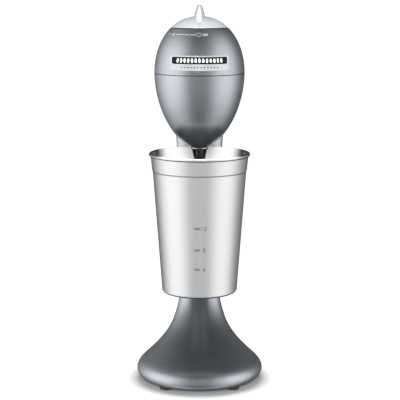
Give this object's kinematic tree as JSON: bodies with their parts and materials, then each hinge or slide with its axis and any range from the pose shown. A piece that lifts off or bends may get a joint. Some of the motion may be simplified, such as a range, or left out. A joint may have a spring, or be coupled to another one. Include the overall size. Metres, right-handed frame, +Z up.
{
  "type": "milkshake mixer",
  "caption": "Single-spindle drink mixer: egg-shaped motor head with a top dial, on a column and bell base, over a tapered steel mixing cup.",
  "frame": {"origin": "centre of the base on the plane that the feet stand on", "axes": "+Z up along the column, -Y out of the front, +X to the viewer's right when facing the front"},
  "size_m": [0.1332, 0.1335, 0.3962],
  "materials": {
    "body_paint": "satin metallic gunmetal paint",
    "dial_metal": "bright silver",
    "chrome": "polished",
    "badge_black": "gloss",
    "cup_steel": "brushed",
    "spindle_steel": "ground",
    "rubber": "matt",
    "zinc_steel": "zinc plated",
    "cast_iron": "as cast",
    "bracket_aluminium": "as cast",
    "bracket_paint": "satin metallic gunmetal paint",
    "lamination_steel": "stacked sheet",
    "copper": "varnished copper",
    "bronze": "sintered bronze",
    "black_plastic": "matt",
    "ferrite": "matt",
    "board_green": "satin"
  },
  "bodies": {
    "stand": {"badge_frame": "chrome", "badge_panel": "badge_black", "ballast_bolt": "zinc_steel", "ballast_weight": "cast_iron", "board_capacitor": "black_plastic", "board_choke": "ferrite", "board_screws": "zinc_steel", "board_triac": "black_plastic", "bottom_plate": "zinc_steel", "brush_holders": "black_plastic", "button_bushing": "chrome", "carbon_brushes": "ferrite", "control_board": "board_green", "cord_gland": "rubber", "cup_hook": "chrome", "cup_hook_screws": "zinc_steel", "cup_rest": "bracket_paint", "cup_rest_pad": "rubber", "cup_rest_screws": "zinc_steel", "field_coils": "copper", "field_stack": "lamination_steel", "foot_1": "rubber", "foot_2": "rubber", "foot_3": "rubber", "foot_4": "rubber", "foot_screws": "zinc_steel", "head_bolts": "zinc_steel", "lower_bearing": "spindle_steel", "lower_head_shell": "body_paint", "lower_motor_bracket": "bracket_aluminium", "motor_screws": "zinc_steel", "nose_bushing": "bronze", "shell_screws": "zinc_steel", "speed_selector": "black_plastic", "stand_casting": "body_paint", "switch_body": "black_plastic", "switch_screws": "zinc_steel", "switch_terminals": "copper", "upper_bearing": "spindle_steel", "upper_head_shell": "body_paint", "upper_motor_bracket": "bracket_aluminium"},
    "dial": {"dial_cap": "dial_metal", "dial_shaft": "spindle_steel", "dial_pointer": "badge_black"},
    "rotor": {"armature_core": "lamination_steel", "armature_shaft": "spindle_steel", "armature_winding": "copper", "commutator": "copper", "cooling_fan": "black_plastic", "spindle": "spindle_steel", "spindle_collar": "chrome", "agitator": "spindle_steel", "agitator_screw": "spindle_steel"},
    "cup": {"mixing_cup": "cup_steel"},
    "button": {"cup_button": "black_plastic"},
    "lever": {"switch_lever": "spindle_steel"}
  },
  "joints": [
    {"name": "dial_turn", "type": "hinge", "parent": "stand", "child": "dial", "pos_m": [0, -0.0145, 0.372], "axis": [0, 0, 1], "range_deg": [-150, 0]},
    {"name": "spindle_spin", "type": "hinge", "parent": "stand", "child": "rotor", "pos_m": [0, -0.0145, 0.262], "axis": [0, 0, 1], "continuous": true},
    {"name": "cup_swing", "type": "hinge", "parent": "stand", "child": "cup", "pos_m": [0, 0.0362, 0.2437], "axis": [-1, 0, 0], "range_deg": [0, 11]},
    {"name": "button_slide", "type": "slide", "parent": "stand", "child": "button", "axis": [0, -1, 0], "range_m": [0, 0.003]},
    {"name": "lever_tip", "type": "hinge", "parent": "stand", "child": "lever", "pos_m": [0, 0.0486, 0.1085], "axis": [1, 0, 0], "range_deg": [0, 13]}
  ],
  "couplings": [
    {"joint": "button_slide", "follows": "cup_swing", "m_per_rad": 0.0156},
    {"joint": "lever_tip", "follows": "cup_swing", "ratio": 1.18}
  ]
}
